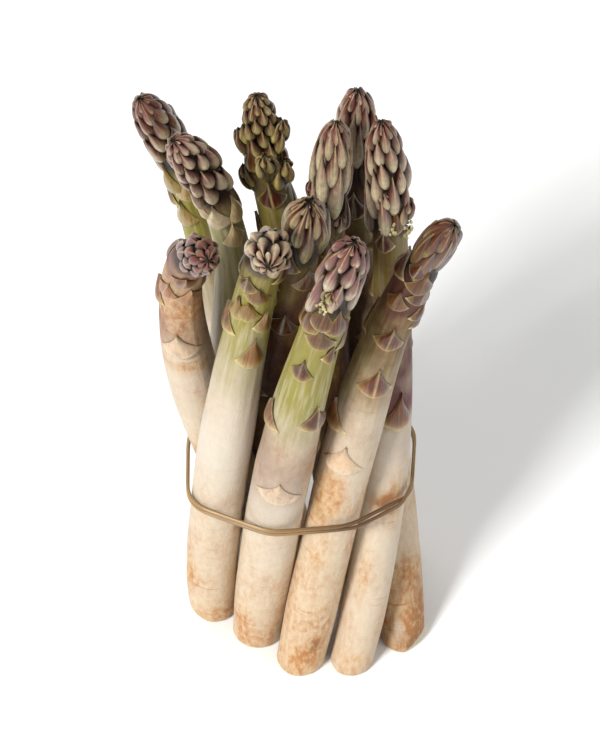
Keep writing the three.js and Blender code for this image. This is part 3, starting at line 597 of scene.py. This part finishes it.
def add_head(skin, place, stalk, spear, settings, rng, seed, faces=10):
    """All the scales of a head, from its tip down."""
    rows, leafy = stalk["rows"], spear["leafy"]
    green, purple, rust = spear["scale"]
    for n in range(stalk["scales"]):
        depth = scale_depth(stalk, n)
        above = scale_depth(stalk, n - rows["count"]) if n >= rows["count"] else 0
        share = depth / stalk["head_length"]
        lift = stalk["head_radius"] * lerp(HEAD["end_lift"], HEAD["neck_lift"], share)
        height = stalk["length"] - depth
        stretch = lerp(settings.overlap, 1.35, leafy) * spear["long"]
        length = HEAD["cover"] * min((depth - above) * stretch, depth) * rng.uniform(1, 1 + settings.jitter)
        turn = rows["jump"] * n * 360 / rows["count"] + rows["drift"] * max(n - 2, 0)
        around = max(core_radius(stalk, height + 0.35 * length) + lift, 0.3 * stalk["head_radius"])
        tone = rng.random()
        deep = 0.35 * (1 - smoothstep(share, 0.1, 0.5))
        wide = lerp(1.08, 1.32, leafy)
        # paper pales the scale's base: partly its own paler colour, partly a painted highlight on its round
        # bottom.
        paper = rng.uniform(0.1, 0.5) * (1 - 0.8 * leafy)
        add_scale(skin, place, stalk, {
            "faces": faces, "height": height - 0.04 * length, "length": length * 1.06,
            "lift": lift * spear["plump"] * rng.uniform(1 - settings.jitter, 1 + settings.jitter),
            "half_width": around * wide * settings.half_angle * HEAD_ROWS["count"] / rows["count"],
            "widest": rng.uniform(0.26, 0.4), "taper": lerp(2.1, 1.4, leafy), "full": rng.uniform(0.7, 1.0),
            "azimuth": math.radians(stalk["turn"] + stalk["hand"] * turn + rng.uniform(-7, 7) * share),
            "keel": rng.uniform(0.18, 0.5), "lean": rng.uniform(-0.28, 0.28) - 0.2 * stalk["hand"],
            "tip": lerp(settings.tip_lift, 1.0, leafy), "out": rng.uniform(0, 0.3) * MM * share,
            "low": (clamp(green + 0.25), clamp(purple * 0.4 + deep), rust * 0.3, paper),
            "high": (green, clamp(purple * 1.4 + 0.12 + deep, 0, 1.6), clamp(rust + 0.3), 0),
            "tone": tone, "seed": seed,
        })


def add_side_bud(skin, line, stalk, bud, spear, settings, rng, seed):
    """A small head on a short stalk that stands out of the spear's own head."""
    small = bud_stalk(bud)
    height = stalk["length"] - bud["depth"] * MM - small["length"] / 2
    out = core_radius(stalk, height) - BUD["sunk"] * MM
    seat = (
        Matrix.Rotation(math.radians(bud["azimuth"]), 4, "Z")
        @ Matrix.Translation((out, 0, height))
        @ Matrix.Rotation(math.radians(BUD["lean"]), 4, "Y")
    )
    made = bmesh.ops.create_uvsphere(skin.bm, u_segments=12, v_segments=10, radius=1)
    for vert in made["verts"]:
        level = math.acos(clamp(-vert.co.z, -1, 1)) / math.pi
        ring = math.hypot(vert.co.x, vert.co.y)
        radius = core_radius(small, small["length"] * level) if 0 < level < 1 else 0
        way = Vector((vert.co.x, vert.co.y, 0)) / ring if ring > 1e-6 else Vector()
        grown = way * radius + Vector((0, 0, small["length"] * level))
        vert.co = line.place(seat @ grown)
        # The bud's stalk is painted in shade where it sinks into the head.
        skin.set(vert, grown + seed, (0.8, 0.6, 0.2, 0), shade=0.8)
    bud_spear = {**spear, "scale": bud["scale"]}
    add_head(skin, lambda point: line.place(seat @ point), small, bud_spear, settings, rng, seed, faces=8)


def add_beads(skin, line, stalk, beads, rng, seed):
    """A cluster of unopened flower buds, 1 to 1.5 mm across, in the gap under a scale."""
    for _ in range(beads["count"]):
        radius = rng.uniform(0.5, 0.75) * MM
        height = stalk["length"] - (beads["depth"] + rng.uniform(-1, 1) * beads["spread"]) * MM
        out = core_radius(stalk, height) + rng.uniform(0.6, 2.0) * MM
        angle = math.radians(beads["azimuth"]) + rng.uniform(-1, 1) * beads["spread"] * MM / out
        grown = Vector((out * math.cos(angle), out * math.sin(angle), height))
        made = bmesh.ops.create_icosphere(skin.bm, subdivisions=1, radius=radius)
        tone = rng.random()
        for vert in made["verts"]:
            level = vert.co.z / radius
            vert.co = line.place(grown + Vector((vert.co.x, vert.co.y, vert.co.z * 1.35)))
            stains = (0.75, 0.15 + 0.4 * tone, 0, 0.3)
            # Painted shade on the underside of each bead.
            skin.set(vert, grown + seed, stains, (0, 0.5, tone), 0.4 * clamp(-level))


def bract_list(spear, line, stalk):
    """Height, azimuth, length, half-width and darkness of a stem's bracts: its own, and others all round."""
    found = list(spear["bracts"])
    rows = stalk["rows"]
    for n in range(BRACT["count"]):
        height = line.length / MM - spear["head"][1] - BRACT["gap"] * (n + 1) - BRACT["growth"] * n * n
        middle = line.frame((height + BRACT["length"] / 2) * MM)[0]
        if abs(middle.z / MM - BAND["height"]) < BRACT["band_clear"]:
            continue
        turn = (spear["scales"] + n) * (rows["jump"] * 360 / rows["count"] + rows["drift"])
        azimuth = (spear["turn"] + spear["hand"] * turn) % 360
        if spear["bracts"] and abs((azimuth + 90 + 180) % 360 - 180) < BRACT["front"]:
            continue
        found.append((height, azimuth, BRACT["length"], BRACT["half_width"], BRACT["dark"]))
    return found


def add_bract(skin, line, stalk, bract, spear, settings, rng, seed):
    """A thin three-cornered leaf that clasps the stem: a lip along its base, a free tip at its top."""
    height, azimuth, length, half_width, dark = bract
    made = bmesh.ops.create_grid(skin.bm, x_segments=10, y_segments=12, size=1)
    green, purple, rust = stain(spear, (height + 4) * MM)
    tone = rng.random()
    curl = rng.uniform(-0.2, 0.9)
    twist = rng.uniform(-0.12, 0.12)
    reach = math.radians(half_width)
    bleached = 1 + min(dark, 0)
    for vert in made["verts"]:
        across, v = vert.co.x, (vert.co.y + 1) / 2
        width = (1 - v) ** 1.5 * (1 + 0.2 * math.sin(math.pi * v)) * 0.985 + 0.015
        rise = 2.6 * abs(across) ** 1.1 * (1 - v) ** 2
        at = (height + rise + length * v) * MM
        lip = smoothstep(v, 0, 0.06)
        bulge = lip * lerp(1, 0.55 + 0.5 * curl, smoothstep(v, 0.35, 1))
        dome = (1 - abs(across) ** 2.6) * 0.9 + 0.1
        ripple = 0.1 * noise.noise(Vector((across * 2.5, v * 2, tone * 40)))
        off = settings.lift * (bulge * dome + ripple * v) - lerp(0.25 * MM, 0, lip)
        radius = core_radius(stalk, at) + off + 0.08 * MM
        angle = math.radians(azimuth) + reach * (across * width + twist * v)
        grown = Vector((radius * math.cos(angle), radius * math.sin(angle), at))
        vert.co = line.place(grown)
        margin = smoothstep(abs(across), 0.75, 1) * 0.35
        pale = clamp((1 - smoothstep(v, 0.05, 0.17)) * 0.95 + margin)
        pale = max(pale * lerp(0.5, 1, smoothstep(dark, 0, 0.5)), -0.3 * min(dark, 0))
        ripe = max(dark, 0.2) * smoothstep(v, 0.04, 0.42)
        stains = (
            bleached * clamp(green * 0.8 + 0.3 * max(dark, 0)),
            bleached * clamp(purple * 0.8 + ripe * 0.95),
            bleached * clamp(rust * 0.6 + ripe * 0.75 + 0.3),
            pale,
        )
        # A darker tip, partly the bract's own brown and partly painted shade where the tip lifts off the
        # stem.
        tip = 0.7 * smoothstep(v, 0.72, 1) * clamp(dark + 0.5)
        skin.set(vert, grown + seed, stains, (across * width * 1.6, v, tone), tip)
    faces = list({face for vert in made["verts"] for face in vert.link_faces})
    bmesh.ops.solidify(skin.bm, geom=faces, thickness=settings.thickness)


def band_sections():
    """Round sections of the spears where the band passes them: x, y and radius."""
    sections = []
    for spear in SPEARS.values():
        line = Growth(spear)
        stalk = stalk_of(spear, line)
        height = BAND["height"] * MM
        for _ in range(8):
            height += BAND["height"] * MM - line.frame(height)[0].z
        at, _, _, along = line.frame(height)
        lean = math.hypot(along.x, along.y)
        radius = core_radius(stalk, height) + (BAND["strand"] + BAND["apart"]) * MM * lean
        sections.append((at.x, at.y, radius / along.z))
    return sections


def band_route(steps):
    """Points along both turns of the band, evenly apart."""
    sections = band_sections()
    strand, apart, gap = BAND["strand"] * MM, BAND["apart"] * MM, BAND["gap"] * MM
    half = BAND["cross_over"] / 2
    corners = []
    for azimuth in range(720):
        way = Vector((math.cos(math.radians(azimuth)), math.sin(math.radians(azimuth)), 0))
        x, y, radius = max(sections, key=lambda s: s[0] * way.x + s[1] * way.y + s[2])
        turn = math.floor(azimuth / 360 + 0.5 - BAND["cross_at"] / 360)
        past = azimuth - BAND["cross_at"] - 360 * turn
        roll = math.radians(180 * turn + 180 * smoothstep(past, -half, half) - 90)
        out = strand + gap + apart * abs(math.cos(roll)) + apart * math.cos(roll)
        centre = Vector((x, y, BAND["height"] * MM + apart * math.sin(roll)))
        corners.append(centre + way * (radius + out))
    corners.append(corners[0])
    reached = [0.0]
    for a, b in zip(corners, corners[1:]):
        reached.append(reached[-1] + (b - a).length)
    route = []
    for i in range(steps):
        want = reached[-1] * i / steps
        k = min(bisect_right(reached, want) - 1, len(corners) - 2)
        step = max(reached[k + 1] - reached[k], 1e-12)
        route.append(corners[k].lerp(corners[k + 1], (want - reached[k]) / step))
    for _ in range(6):
        route = [(route[i - 1] + route[i] * 2 + route[(i + 1) % steps]) / 4 for i in range(steps)]
    return route


def ring_edges(ring):
    """The edges that join one ring of points."""
    members = set(ring)
    return [edge for edge in {e for vert in ring for e in vert.link_edges} if set(edge.verts) <= members]


def extrude_ring(bm, ring):
    """Extrudes a ring of points and returns the new ring in the same order."""
    made = bmesh.ops.extrude_edge_only(bm, edges=ring_edges(ring))
    fresh = {item for item in made["geom"] if isinstance(item, bmesh.types.BMVert)}
    return [next(e.other_vert(vert) for e in vert.link_edges if e.other_vert(vert) in fresh) for vert in ring]


# --- Materials ---


def add(tree, kind, inputs=None, **settings):
    """Adds a node. Inputs are values or the sockets they are linked from."""
    node = tree.nodes.new(kind)
    for key, value in settings.items():
        setattr(node, key, value)
    for key, value in (inputs or {}).items():
        if isinstance(value, bpy.types.NodeSocket):
            tree.links.new(value, node.inputs[key])
        else:
            node.inputs[key].default_value = value
    return node


def new_material(name):
    """An empty material and its node tree."""
    material = bpy.data.materials.new(name)
    material.use_nodes = True
    material.node_tree.nodes.clear()
    return material, material.node_tree


def finish_material(material, height, strength, depth, inputs):
    """Gives a material its relief, its shader and its output. The depth is in millimetres."""
    tree = material.node_tree
    bump = add(tree, "ShaderNodeBump", {"Height": height, "Strength": strength, "Distance": depth * MM})
    shader = add(tree, "ShaderNodeBsdfPrincipled", {**inputs, "Normal": bump.outputs[0]})
    add(tree, "ShaderNodeOutputMaterial", {"Surface": shader.outputs[0]})
    return material


def stained(tree, stain_socket, wander, flesh):
    """Pale flesh with its green, purple and rust laid over it as tints, and the painted shade of its crevices
    and the dark of its scars.
    """
    colours = bpy.context.scene.asparagus_skin
    parts = add(tree, "ShaderNodeSeparateColor", {0: stain_socket})
    aged = {0: parts.outputs[2], 6: (*flesh, 1), 7: (*colours.straw, 1)}
    result = add(tree, "ShaderNodeMix", aged, data_type="RGBA", clamp_factor=True).outputs[2]
    amounts = []
    for amount, strength in zip(parts.outputs, wander):
        varied = {0: amount, 1: strength}
        amounts.append(add(tree, "ShaderNodeMath", varied, operation="MULTIPLY", use_clamp=True).outputs[0])
    # The shade attribute darkens the colour towards the crevice tint. It is mostly painted shade, and also
    # the dark of scars and tips.
    amounts.append(add(tree, "ShaderNodeAttribute", attribute_name="shade").outputs["Fac"])
    for amount, tint in zip(amounts, (colours.green, colours.purple, colours.rust, colours.shade)):
        tinted = {0: amount, 6: result, 7: (*tint, 1)}
        result = add(tree, "ShaderNodeMix", tinted, data_type="RGBA", blend_type="MULTIPLY").outputs[2]
    return result


def skin_material():
    """Raw asparagus skin, peel-thick and waxy: satin, cream with rusty rubbed patches, finely ribbed, and
    green to purple where it grew in the light."""
    name = "Asparagus skin, raw"
    if name in bpy.data.materials:
        return bpy.data.materials[name]
    material, tree = new_material(name)
    grown = add(tree, "ShaderNodeAttribute", attribute_name="grown").outputs["Vector"]
    stains = add(tree, "ShaderNodeAttribute", attribute_name="stain").outputs["Color"]

    # Each pattern is a noise with so many cells per metre round and up the stem, its detail, roughness and
    # distortion, and the range of it that becomes a range of strengths.
    patterns = {
        # Fibres run up the stem, 1 mm wide and 20 mm long.
        "fibres": (1000, 50, 3.0, 0.5, 0.0, "LINEAR", (0.3, 0.7, 0.65, 1.4)),
        # Rubbed patches are 9 mm wide and 14 mm tall.
        "patches": (115, 70, 3.0, 0.5, 0.0, "SMOOTHSTEP", (0.38, 0.68, 0.4, 0.95)),
        # They are made up of specks 1.6 mm wide and 3 mm tall.
        "specks": (640, 330, 4.0, 0.65, 0.0, "LINEAR", (0.38, 0.66, 0.35, 1.5)),
        # Creases run across the stem, 15 mm long and up to 1.6 mm thick.
        "creases": (65, 620, 2.0, 0.5, 0.8, "LINEAR", (0.63, 0.72, 0.0, 0.7)),
        # Cloudy changes of colour are 12 mm wide and 17 mm tall.
        "clouds": (85, 60, 3.0, 0.5, 0.0, "LINEAR", (0.3, 0.7, 0.55, 1.4)),
    }
    noises, strengths = {}, {}
    for key, (across, along, detail, roughness, distortion, kind, span) in patterns.items():
        place = add(tree, "ShaderNodeMapping", {"Vector": grown, "Scale": (across, across, along)})
        inputs = {"Vector": place.outputs[0], "Scale": 1.0, "Detail": detail, "Roughness": roughness}
        noises[key] = add(tree, "ShaderNodeTexNoise", {**inputs, "Distortion": distortion}).outputs["Fac"]
        inputs = {"Value": noises[key], **dict(zip(RANGE, span))}
        strengths[key] = add(tree, "ShaderNodeMapRange", inputs, interpolation_type=kind).outputs[0]
    rusty = add(
        tree, "ShaderNodeMath", {0: strengths["patches"], 1: strengths["specks"], 2: strengths["creases"]},
        operation="MULTIPLY_ADD",
    )
    wander = (strengths["fibres"], strengths["clouds"], rusty.outputs[0])
    colour = stained(tree, stains, wander, bpy.context.scene.asparagus_skin.flesh)
    # Pores and hair cracks, 0.5 mm fine.
    pores = add(tree, "ShaderNodeTexNoise", {"Vector": grown, "Scale": 1900.0, "Detail": 2.0})
    relief = add(
        tree, "ShaderNodeMath", {0: noises["fibres"], 1: 0.75, 2: pores.outputs["Fac"]},
        operation="MULTIPLY_ADD",
    )
    rough = add(
        tree, "ShaderNodeMapRange", {"Value": noises["patches"], **dict(zip(RANGE, (0.3, 0.7, 0.42, 0.62)))}
    )
    return finish_material(material, relief.outputs[0], 0.5, 0.3, {
        "Base Color": colour, "Roughness": rough.outputs[0], "IOR": 1.4, "Subsurface Weight": 0.25,
        "Subsurface Radius": (1.0, 0.5, 0.25), "Subsurface Scale": 2 * MM,
    })


def scale_material():
    """Asparagus scale leaves, raw: fleshy and satin in the middle, finely veined, with thin papery edges."""
    name = "Asparagus scale leaf, raw"
    if name in bpy.data.materials:
        return bpy.data.materials[name]
    material, tree = new_material(name)
    colours = bpy.context.scene.asparagus_skin
    grown = add(tree, "ShaderNodeAttribute", attribute_name="grown").outputs["Vector"]
    stains = add(tree, "ShaderNodeAttribute", attribute_name="stain")
    leaf = add(tree, "ShaderNodeAttribute", attribute_name="leaf").outputs["Vector"]
    across, _, tone = add(tree, "ShaderNodeSeparateXYZ", {0: leaf}).outputs
    aside = add(tree, "ShaderNodeMath", {0: across}, operation="ABSOLUTE").outputs[0]

    # Veins run from base to point, about 0.3 mm apart on a scale 7 mm wide.
    vein_place = add(tree, "ShaderNodeMapping", {"Vector": leaf, "Scale": (12, 1.2, 37)})
    veins = add(
        tree, "ShaderNodeTexNoise", {"Vector": vein_place.outputs[0], "Scale": 1.0, "Detail": 2.0}
    ).outputs["Fac"]
    # Blotches are 2 mm across.
    blotches = add(
        tree, "ShaderNodeTexNoise", {"Vector": grown, "Scale": 520.0, "Detail": 4.0, "Roughness": 0.6}
    ).outputs["Fac"]
    # What each strength follows, and the range of it that becomes a range of strengths.
    streaky, blotchy, mottled, toned, margin, keel = (
        add(
            tree, "ShaderNodeMapRange", {"Value": value, **dict(zip(RANGE, span))}, interpolation_type=kind
        ).outputs[0]
        for value, kind, span in (
            (veins, "LINEAR", (0.3, 0.7, 0.75, 1.25)),
            (blotches, "LINEAR", (0.3, 0.7, 0.45, 1.5)),
            (blotches, "LINEAR", (0.32, 0.68, 0.72, 1.3)),
            (tone, "LINEAR", (0.0, 1.0, 0.7, 1.35)),
            (aside, "SMOOTHSTEP", (0.62, 0.9, 0.0, 0.1)),
            (aside, "SMOOTHSTEP", (0.0, 0.14, 0.5, 0.0)),
        )
    )
    purpled = add(tree, "ShaderNodeMath", {0: streaky, 1: toned}, operation="MULTIPLY").outputs[0]
    colour = stained(tree, stains.outputs["Color"], (streaky, purpled, blotchy), colours.leaf)
    # A painted highlight runs along the middle of each scale, varied by its tone; margin adds the scale's own
    # pale papery edge.
    keel_highlight_and_margin = add(tree, "ShaderNodeMath", {0: keel, 1: tone, 2: margin}, operation="MULTIPLY_ADD")
    pale = add(
        tree, "ShaderNodeMath", {0: keel_highlight_and_margin.outputs[0], 1: stains.outputs["Alpha"]}, operation="MAXIMUM",
        use_clamp=True,
    )
    paled = add(
        tree, "ShaderNodeMix", {0: pale.outputs[0], 6: colour, 7: (*colours.margin, 1)}, data_type="RGBA"
    )
    base = add(
        tree, "ShaderNodeMix", {0: 1.0, 6: paled.outputs[2], 7: mottled}, data_type="RGBA",
        blend_type="MULTIPLY",
    )
    relief = add(tree, "ShaderNodeMath", {0: veins, 1: 0.7, 2: blotches}, operation="MULTIPLY_ADD")
    return finish_material(material, relief.outputs[0], 0.6, 0.25, {
        "Base Color": base.outputs[2], "Roughness": 0.36, "IOR": 1.33, "Coat Weight": 0.4,
        "Coat Roughness": 0.16,
    })


def cut_material():
    """Cut asparagus flesh, a little dried: matt and pale, with the ends of its fibres as darker dots."""
    name = "Asparagus flesh, knife-cut"
    if name in bpy.data.materials:
        return bpy.data.materials[name]
    material, tree = new_material(name)
    place = add(tree, "ShaderNodeTexCoord").outputs["Object"]
    # Fibre ends are 1.1 mm apart.
    dots = add(tree, "ShaderNodeTexVoronoi", {"Vector": place, "Scale": 900.0})
    # Browned clouds are 4 mm across.
    cloud = add(tree, "ShaderNodeTexNoise", {"Vector": place, "Scale": 260.0, "Detail": 4.0})
    ramp = add(tree, "ShaderNodeValToRGB", {0: dots.outputs["Distance"]})
    for stop, code, position in zip(ramp.color_ramp.elements, ("#b58f5c", "#e9d7b0"), (0.12, 0.34)):
        stop.color = linear(code)
        stop.position = position
    browned = add(
        tree, "ShaderNodeMix", {0: cloud.outputs["Fac"], 6: ramp.outputs[0], 7: linear("#d9bd8c")},
        data_type="RGBA",
    )
    return finish_material(
        material, dots.outputs["Distance"], 0.3, 0.2,
        {"Base Color": browned.outputs[2], "Roughness": 0.7, "IOR": 1.4},
    )


def rubber_material():
    """Natural rubber, extruded and cut into a band: satin tan, with faint lines along it."""
    material, tree = new_material("Natural rubber, extruded")
    settings = bpy.context.scene.asparagus_band
    leaf = add(tree, "ShaderNodeAttribute", attribute_name="leaf").outputs["Vector"]
    # Lines along the strand are 0.25 mm apart and 20 mm long.
    line_place = add(tree, "ShaderNodeMapping", {"Vector": leaf, "Scale": (2.5, 2.2, 2.2)})
    lines = add(tree, "ShaderNodeTexNoise", {"Vector": line_place.outputs[0], "Scale": 1.0, "Detail": 3.0})
    tone = add(
        tree, "ShaderNodeMapRange",
        {"Value": lines.outputs["Fac"], **dict(zip(RANGE, (0.3, 0.7, 0.42, 1.45)))},
    )
    shade = add(tree, "ShaderNodeAttribute", attribute_name="shade")
    # The band's colour is mixed towards a darker brown as painted shade on its right front side.
    painted_band_shade = add(
        tree, "ShaderNodeMix", {0: shade.outputs["Fac"], 6: (*settings.colour, 1), 7: (*settings.painted_band_shade, 1)},
        data_type="RGBA",
    )
    base = add(
        tree, "ShaderNodeMix", {0: 1.0, 6: painted_band_shade.outputs[2], 7: tone.outputs[0]}, data_type="RGBA",
        blend_type="MULTIPLY",
    )
    return finish_material(
        material, lines.outputs["Fac"], 0.3, 0.15,
        {"Base Color": base.outputs[2], "Roughness": 0.32, "IOR": 1.52},
    )


def paper_material():
    """Matt studio paper with a faint grain."""
    material, tree = new_material("Studio paper, matt")
    place = add(tree, "ShaderNodeTexCoord").outputs["Object"]
    # The grain is 1.1 mm across.
    grain = add(tree, "ShaderNodeTexNoise", {"Vector": place, "Scale": 900.0})
    floor = bpy.context.scene.asparagus_stage.floor
    return finish_material(
        material, grain.outputs["Fac"], 0.05, 0.1, {"Base Color": (*floor, 1), "Roughness": 0.9}
    )


# --- Operators ---


class ASPARAGUS_OT_stems(bpy.types.Operator):
    """Grow the eleven stems, bent as they lie in the bundle and cut off level"""

    bl_idname = "asparagus.stems"
    bl_label = "Stems"

    def execute(self, context):
        for number, (name, spear) in enumerate(SPEARS.items()):
            stem(number, name, spear, context.scene.asparagus_stem)
        return {"FINISHED"}


class ASPARAGUS_OT_heads(bpy.types.Operator):
    """Cover every spear's head with scales and set its side buds"""

    bl_idname = "asparagus.heads"
    bl_label = "Heads"

    def execute(self, context):
        settings = context.scene.asparagus_scale
        for number, (name, spear) in enumerate(SPEARS.items()):
            rng = random.Random(DRAWS["head"] + number)
            line, stalk, skin, seed = prepare(number, spear)
            add_head(skin, line.place, stalk, spear, settings, rng, seed)
            for bud in spear.get("buds", []):
                add_side_bud(skin, line, stalk, bud, spear, settings, rng, seed)
            for beads in spear.get("beads", []):
                add_beads(skin, line, stalk, beads, rng, seed)
            finish_piece(f"{name}_head", skin.bm, [scale_material()], name, levels=1)
        return {"FINISHED"}


class ASPARAGUS_OT_bracts(bpy.types.Operator):
    """Clasp the bracts round the stems"""

    bl_idname = "asparagus.bracts"
    bl_label = "Bracts"

    def execute(self, context):
        settings = context.scene.asparagus_bract
        for number, (name, spear) in enumerate(SPEARS.items()):
            rng = random.Random(DRAWS["bracts"] + number)
            line, stalk, skin, seed = prepare(number, spear)
            for bract in bract_list(spear, line, stalk):
                add_bract(skin, line, stalk, bract, spear, settings, rng, seed)
            finish_piece(f"{name}_bracts", skin.bm, [scale_material()], name, levels=1)
        return {"FINISHED"}


class ASPARAGUS_OT_band(bpy.types.Operator):
    """Wind the rubber band round the bundle twice"""

    bl_idname = "asparagus.band"
    bl_label = "Rubber Band"

    def execute(self, context):
        settings = context.scene.asparagus_band
        route = band_route(settings.steps)
        skin = Skin()
        bm = skin.bm
        first = ring = bmesh.ops.create_circle(bm, segments=BAND["sides"], radius=1)["verts"]
        shape = []
        for vert in ring:
            angle = math.atan2(vert.co.y, vert.co.x)
            shape.append([math.copysign(abs(f(angle)) ** 0.7, f(angle)) for f in (math.cos, math.sin)])
        for i, at in enumerate(route):
            ahead = (route[(i + 1) % len(route)] - route[i - 1]).normalized()
            out = ahead.cross(Vector((0, 0, 1))).normalized()
            up = out.cross(ahead)
            roll = Matrix.Rotation(0.35 * math.sin(i * 4 * math.pi / len(route) + 1), 3, ahead)
            if i > 0:
                ring = extrude_ring(bm, ring)
            # Painted shade: the band darkens towards its right front side.
            painted_band_shade = smoothstep(at.x, -12 * MM, 20 * MM) * smoothstep(-at.y, 0, 25 * MM)
            for vert, (x, y) in zip(ring, shape):
                side, rise = x * settings.strand_depth / 2, y * settings.strand_height / 2
                vert.co = at + roll @ (out * side + up * rise)
                skin.set(vert, vert.co, (0, 0, 0), (i / BAND["pattern"], x, y), painted_band_shade)
        bmesh.ops.bridge_loops(bm, edges=ring_edges(first) + ring_edges(ring))
        finish_piece("band", bm, [rubber_material()], "rubber_band", levels=0)
        return {"FINISHED"}


class ASPARAGUS_OT_stage(bpy.types.Operator):
    """Set the floor, the light and the camera"""

    bl_idname = "asparagus.stage"
    bl_label = "Stage"

    def execute(self, context):
        scene = context.scene
        settings = scene.asparagus_stage
        bm = bmesh.new()
        bmesh.ops.create_grid(bm, x_segments=1, y_segments=1, size=STAGE["floor"])
        mesh = bpy.data.meshes.new("floor")
        bm.to_mesh(mesh)
        bm.free()
        mesh.materials.append(paper_material())
        floor = bpy.data.objects.new("floor", mesh)
        scene.collection.objects.link(floor)

        world = bpy.data.worlds.new("Soft studio")
        world.use_nodes = True
        background = world.node_tree.nodes["Background"]
        background.inputs["Color"].default_value = (1, 1, 1, 1)
        background.inputs["Strength"].default_value = STAGE["world"]
        scene.world = world
        scene.view_settings.view_transform = "Standard"

        for name, (at, size, power) in LAMPS.items():
            light = bpy.data.lights.new(name, "AREA")
            light.size = size
            light.energy = power
            lamp = bpy.data.objects.new(name, light)
            lamp.location = at
            lamp.rotation_euler = (Vector(LAMPS_AIM) - Vector(at)).to_track_quat("-Z", "Y").to_euler()
            scene.collection.objects.link(lamp)

        back = Vector((0, -math.cos(settings.elevation), math.sin(settings.elevation)))
        camera = bpy.data.objects.new("camera", bpy.data.cameras.new("camera"))
        camera.data.lens = CAMERA["lens"]
        camera.data.clip_start = STAGE["clip"]
        camera.location = Vector(CAMERA["target"]) * MM + back * settings.distance
        camera.rotation_euler = (-back).to_track_quat("-Z", "Y").to_euler()
        scene.collection.objects.link(camera)
        scene.camera = camera
        return {"FINISHED"}


class ASPARAGUS_PT_panel(bpy.types.Panel):
    """The operators, each with its settings"""

    bl_idname = "ASPARAGUS_PT_panel"
    bl_label = "Asparagus Bundle"
    bl_space_type = "VIEW_3D"
    bl_region_type = "UI"
    bl_category = "Asparagus"

    def draw(self, context):
        for operator, key in STEPS:
            box = self.layout.box()
            box.operator(operator.bl_idname)
            if key:
                settings = getattr(context.scene, key)
                for prop in settings.bl_rna.properties:
                    if prop.identifier not in ("rna_type", "name"):
                        box.prop(settings, prop.identifier)


STEPS = (
    (ASPARAGUS_OT_stage, "asparagus_stage"),
    (ASPARAGUS_OT_stems, "asparagus_stem"),
    (ASPARAGUS_OT_heads, "asparagus_scale"),
    (ASPARAGUS_OT_bracts, "asparagus_bract"),
    (ASPARAGUS_OT_band, "asparagus_band"),
)
SETTINGS = {
    "asparagus_stage": AsparagusStageSettings,
    "asparagus_skin": AsparagusSkinSettings,
    "asparagus_stem": AsparagusStemSettings,
    "asparagus_scale": AsparagusScaleSettings,
    "asparagus_bract": AsparagusBractSettings,
    "asparagus_band": AsparagusBandSettings,
}
CLASSES = (*SETTINGS.values(), *(operator for operator, _ in STEPS), ASPARAGUS_PT_panel)


def register():
    for cls in CLASSES:
        bpy.utils.register_class(cls)
    for key, cls in SETTINGS.items():
        setattr(bpy.types.Scene, key, bpy.props.PointerProperty(type=cls))


def unregister():
    for key in SETTINGS:
        delattr(bpy.types.Scene, key)
    for cls in reversed(CLASSES):
        bpy.utils.unregister_class(cls)


def main():
    register()
    bpy.ops.asparagus.stage()
    bpy.ops.asparagus.stems()
    bpy.ops.asparagus.heads()
    bpy.ops.asparagus.bracts()
    bpy.ops.asparagus.band()


if __name__ == "__main__":
    main()
